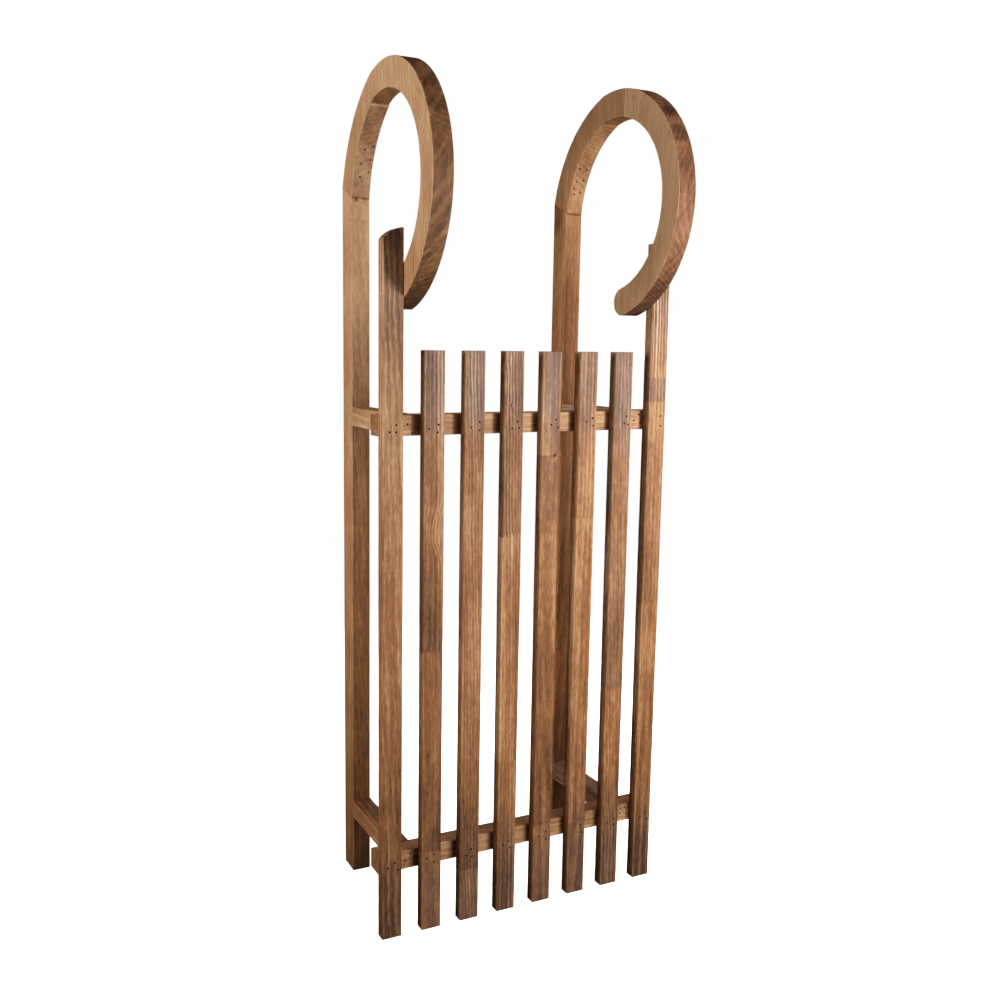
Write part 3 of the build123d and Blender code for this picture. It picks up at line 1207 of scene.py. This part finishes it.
# %% Looks of the staves
horn_looks = {
    "horn_heel_left": {
        "seed": 15.7, "pith": (22.0, 120.0), "tilt": (2.0, 2.0), "sawn": 0.0, "sawn_mauve": 0.15,
        "kerf": 0.06, "mauve_lines": 0.0,
        "boards": [board(0.0, 0.46, lines=0.02)],
    },
    "horn_heel_right": {
        "seed": 29.6, "pith": (-26.0, 110.0), "tilt": (-2.0, 2.0), "sawn": -0.12, "warm": 0.6,
        "boards": [board(0.0, 0.44, lines=0.08)],
    },
    "horn_crown_left": {
        "seed": 36.4, "pith": (18.0, 140.0), "tilt": (1.0, 3.0),
        "boards": [board(0.0, 0.48, lines=0.05)],
    },
    "horn_crown_right": {
        "seed": 48.8, "pith": (30.0, -90.0), "tilt": (-3.0, 2.0), "ring": 3.4, "warm": 0.7,
        "boards": [board(0.0, 0.52, lines=0.26)],
    },
    "horn_nose_left": {
        "seed": 54.1, "pith": (70.0, 95.0), "ring": 5.5, "tilt": (3.0, 7.0), "sawn": 0.20,
        "sawn_mauve": 0.12, "mauve_lines": 0.05, "zone": (0.06, 0.14),
        "knots": [((-151.0, -119.0, 931.0), 16.0, 0.12)],
        "boards": [board(0.0, 0.53, lines=0.06)],
    },
    "horn_nose_right": {
        "seed": 69.9, "pith": (-70.0, 95.0), "ring": 4.0, "tilt": (4.0, -6.0), "sawn": 0.42,
        "sawn_mauve": 0.32, "mauve_lines": 0.10, "zone": (0.09, 0.09), "figure": 0.8, "warm": 0.85,
        "kerf": 0.06,
        "knots": [
            ((139.5, -41.0, 982.0), 6.0, 0.06),
            ((151.0, -120.0, 931.0), 17.0, 0.22),
            ((151.0, -98.0, 960.0), 13.0, 0.16),
        ],
        "boards": [board(0.0, 0.72, lines=0.06)],
    },
}
print("knots in the horns:", sum(len(traits.get("knots", [])) for traits in horn_looks.values()))

# %% Nails inside the curl
heel_nails = {
    # stave: holes as millimetres across from the middle of the sled and above the floor
    "horn_heel_left": [
        (-153.2, 917.2), (-143.6, 921.2), (-143.6, 907.1), (-154.6, 902.0), (-144.0, 893.8), (-153.9, 887.7),
    ],
    "horn_heel_right": [
        (144.9, 919.5), (155.0, 918.8), (146.2, 904.0), (156.0, 906.5), (144.4, 895.4), (155.4, 891.7),
        (146.9, 888.7),
    ],
}


def curl_nails(stave_name, seam):
    """The holes on the inner arc of a heel, as points and directions into the wood."""
    inner_start = Vector((0.0, horn_inner, splice_front))
    inner_turn = math.acos(seam / horn_inner)
    inner_middle = ring_spot(0.0, horn_inner - heel_flat, inner_turn / 2)
    centre = arc_through(inner_start, inner_middle, ring_spot(0.0, horn_inner, inner_turn))[0]
    radius = (inner_start - centre).length
    holes = []
    for spot_x, spot_z in heel_nails[stave_name]:
        lift = spot_z * mm - centre.z
        reach = math.sqrt(radius ** 2 - lift ** 2)
        outward = Vector((0.0, reach, lift)).normalized()
        holes.append((Vector((spot_x * mm, centre.y + reach, spot_z * mm)), outward))
    return holes


print("nails in the heels:", sum(len(spots) for spots in heel_nails.values()))

# %% Make both horns
crown_thinned = {"left": 1.8 * mm, "right": 0.4 * mm}
upright = Vector((0.0, 1.0, 0.0))
sideways = Vector((1.0, 0.0, 0.0))
front_plane = (Vector((0.0, front_seam, 0.0)), upright)
for stave_name, traits in horn_looks.items():
    low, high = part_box(stave_name)
    side = stave_name.split("_")[2]
    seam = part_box("horn_crown_" + side)[1].y
    splice_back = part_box("runner_" + side)[1].z
    back_plane = (Vector((0.0, seam, 0.0)), upright)
    holes = []
    if "heel" in stave_name:
        form = heel_form(low.x, seam, splice_back)
        slope = Vector((0.0, horn_band, splice_back - splice_front))
        splice_plane = (Vector((0.0, horn_inner, splice_front)), slope.cross(sideways).normalized())
        planes = [back_plane, splice_plane]
        holes = curl_nails(stave_name, seam)
    elif "crown" in stave_name:
        form = crown_form(low.x, seam, crown_thinned[side])
        planes = [back_plane, front_plane]
    else:
        form = nose_form(low.x)
        planes = [front_plane]
    extrude(form, form.faces[:], Vector((high.x - low.x, 0.0, 0.0)))
    ease_stave(form, 0.9 * mm, 0.3 * mm, planes)
    look = {**plain_look, "figure": 0.7, "fine": 0.6, "foot": 0.0, "end": 0.14, **traits}
    dress(stave_name, form, "z", look, frame_dents, holes, horn_centre)
print("horn staves:", len(horn_looks))

# %% [markdown]
# ## The floor
#
# The studio floor is one pale disc. A plane as wide as the view would show a horizon. The disc's paint
# grows clear towards the rim, so the floor runs into the white of the studio, and it throws no light back
# on the sled.

# %% The floor
floor_reach = 3.0
floor_clear_from = 1.5
floor_solid_to = 0.45
floor_form = bmesh.new()
bmesh.ops.create_circle(floor_form, cap_ends=True, segments=96, radius=floor_reach)
floor_paint, floor_shader, floor_source = new_material("pale_floor")
floor = add_object("floor", mesh_from(floor_form, "floor", floor_paint))
floor_place = Channel(floor_paint.node_tree, floor_source.outputs["Object"])
floor_distance = floor_place.node("ShaderNodeVectorMath", {"operation": "LENGTH"}, {0: floor_place}, "Value")
floor_cover = floor_distance.ramp(floor_clear_from, floor_solid_to)
floor_cover.feed(floor_shader, "Alpha")
floor_shader.inputs["Base Color"].default_value = (0.92, 0.92, 0.92, 1.0)
floor_shader.inputs["Roughness"].default_value = 0.8
floor_shader.inputs["Emission Color"].default_value = (1.0, 1.0, 1.0, 1.0)
floor_shader.inputs["Emission Strength"].default_value = 1.0
floor.visible_diffuse = False
floor.visible_glossy = False
print("floor reach:", floor_reach, "m")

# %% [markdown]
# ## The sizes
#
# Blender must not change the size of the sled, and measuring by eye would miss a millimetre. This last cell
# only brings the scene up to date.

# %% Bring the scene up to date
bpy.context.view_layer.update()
